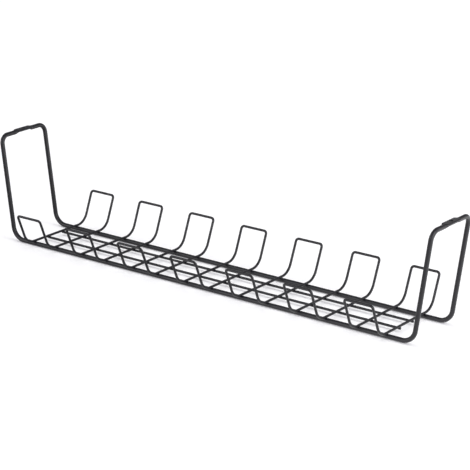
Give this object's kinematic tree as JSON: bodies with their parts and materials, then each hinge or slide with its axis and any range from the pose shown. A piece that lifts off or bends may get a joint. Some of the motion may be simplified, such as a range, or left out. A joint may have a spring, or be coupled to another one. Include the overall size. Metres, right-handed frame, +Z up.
{
  "type": "under-desk cable tray",
  "caption": "Long open cable tray of welded round wire: a closed frame with upright ends that screw up under a desk, floor wires, and bent loops that stand up as fingers along both sides.",
  "frame": {"origin": "middle of the tray's outline, on the floor that its two rails stand on", "axes": "+X runs along the tray, +Y across it towards the back fingers, +Z up"},
  "size_m": [0.7082, 0.159, 0.151],
  "materials": {
    "coated_wire": "satin black powder coat on steel wire"
  },
  "bodies": {
    "root": {"frame_wire": "coated_wire", "loop_wire_1": "coated_wire", "loop_wire_2": "coated_wire", "loop_wire_3": "coated_wire", "loop_wire_4": "coated_wire", "loop_wire_5": "coated_wire", "loop_wire_6": "coated_wire", "loop_wire_7": "coated_wire", "floor_wire_front": "coated_wire", "floor_wire_back": "coated_wire"}
  },
  "joints": []
}
